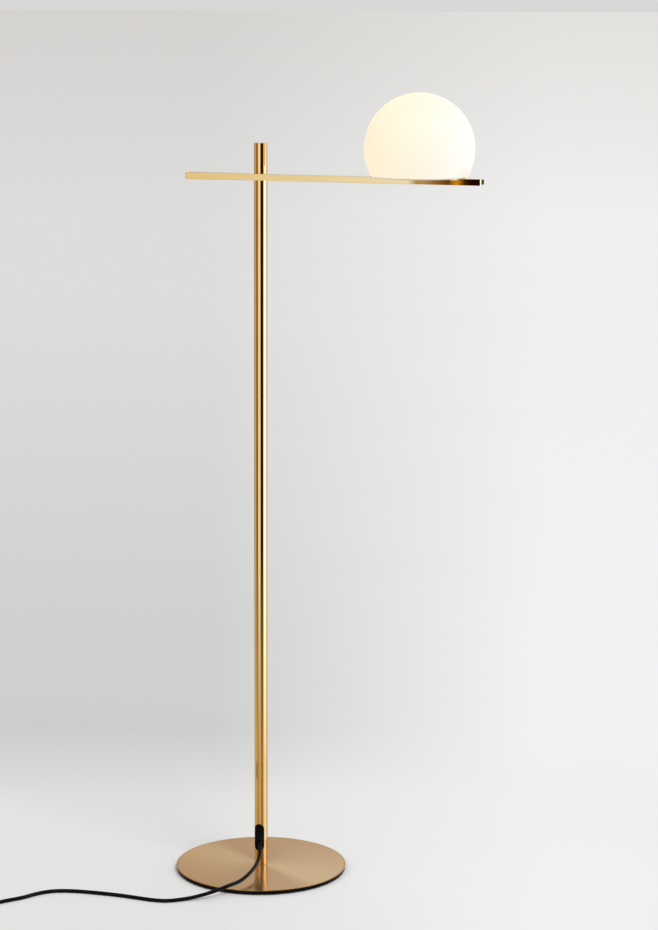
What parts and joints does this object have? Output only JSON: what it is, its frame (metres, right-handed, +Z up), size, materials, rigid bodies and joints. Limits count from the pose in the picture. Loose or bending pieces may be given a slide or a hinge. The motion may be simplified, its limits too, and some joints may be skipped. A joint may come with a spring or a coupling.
{
  "type": "globe floor lamp",
  "caption": "Slim upright on a round weighted base, a flat offset cross bar at its top and an opal glass globe standing on the bar's long arm, with a foot-switched cord.",
  "frame": {"origin": "centre of the base's underside, on the upright's axis", "axes": "+Z up along the upright; +X along the bar's long arm, which carries the globe; -Y is the front, where the bar and the cord outlet are"},
  "size_m": [1.0518, 0.5745, 1.4854],
  "materials": {
    "felt": "black felt",
    "black_weight": "black painted steel plate",
    "polished_brass": "polished brass",
    "brushed_brass": "brass, brushed in circles",
    "zinc_steel": "zinc plated steel",
    "black_rubber": "satin black rubber",
    "black_cord": "glossy black cord sheath",
    "nylon": "natural nylon",
    "brown_insulation": "brown wire insulation",
    "blue_insulation": "blue wire insulation",
    "gallery_enamel": "white enamelled steel",
    "silicone": "translucent silicone sleeve",
    "spring_steel": "bright spring steel",
    "holder_plastic": "white thermoplastic",
    "ceramic": "glazed ceramic",
    "contact_brass": "bright contact brass",
    "nickel": "nickel plated shell",
    "bulb_diffuser": "frosted white diffuser",
    "opal_glass": "satin opal glass, lit from inside",
    "black_plastic": "satin black plastic"
  },
  "bodies": {
    "stand": {"base_pad": "felt", "base_weight": "black_weight", "base_cover": "brushed_brass", "base_bolt": "zinc_steel", "locating_pin": "zinc_steel", "foot_plug": "zinc_steel", "upright_tube": "polished_brass", "upright_top_cap": "polished_brass", "cord_grommet": "black_rubber", "strain_relief": "black_rubber", "cord_clamp": "nylon", "clamp_screw": "zinc_steel", "inner_cord": "black_cord", "live_lead": "brown_insulation", "neutral_lead": "blue_insulation", "arm_saddle": "polished_brass", "arm_nipple": "zinc_steel", "arm_washer": "zinc_steel", "arm_nut": "zinc_steel", "arm_insert": "zinc_steel", "arm_bar": "polished_brass", "bar_end_cap_left": "polished_brass", "bar_end_cap_right": "polished_brass", "shade_nipple": "zinc_steel", "shade_lower_nut": "zinc_steel", "gallery_plate": "gallery_enamel", "shade_upper_nut": "zinc_steel", "shade_rest_sleeves": "silicone", "shade_clips": "spring_steel", "clip_rivets": "zinc_steel", "holder_cap": "holder_plastic", "holder_barrel": "holder_plastic", "holder_insert": "ceramic", "holder_contacts": "contact_brass", "bulb_cap": "nickel", "bulb_body": "holder_plastic", "bulb_dome": "bulb_diffuser", "power_cord_lead": "black_cord", "switch_base": "black_plastic", "switch_cover": "black_plastic", "switch_spring": "spring_steel", "switch_contact_block": "black_plastic", "switch_terminals": "contact_brass", "switch_inlet_relief": "black_rubber", "switch_outlet_relief": "black_rubber", "switch_feet": "black_rubber", "switch_screws": "zinc_steel", "power_cord_link": "black_cord", "power_cord_coil": "black_cord", "coil_tie": "black_cord", "power_cord_tail": "black_cord", "plug_relief": "black_rubber", "plug_body": "black_plastic", "plug_pins": "contact_brass"},
    "shade": {"globe_glass": "opal_glass"},
    "button": {"switch_button": "black_plastic"}
  },
  "joints": [
    {"name": "shade_lift", "type": "slide", "parent": "stand", "child": "shade", "axis": [0, 0, 1], "range_m": [0, 0.15]},
    {"name": "switch_press", "type": "slide", "parent": "stand", "child": "button", "axis": [0, 0, -1], "range_m": [0, 0.003], "stiffness_N_per_m": 1000, "springref_m": -0.002, "deforming": ["switch_spring"]}
  ]
}
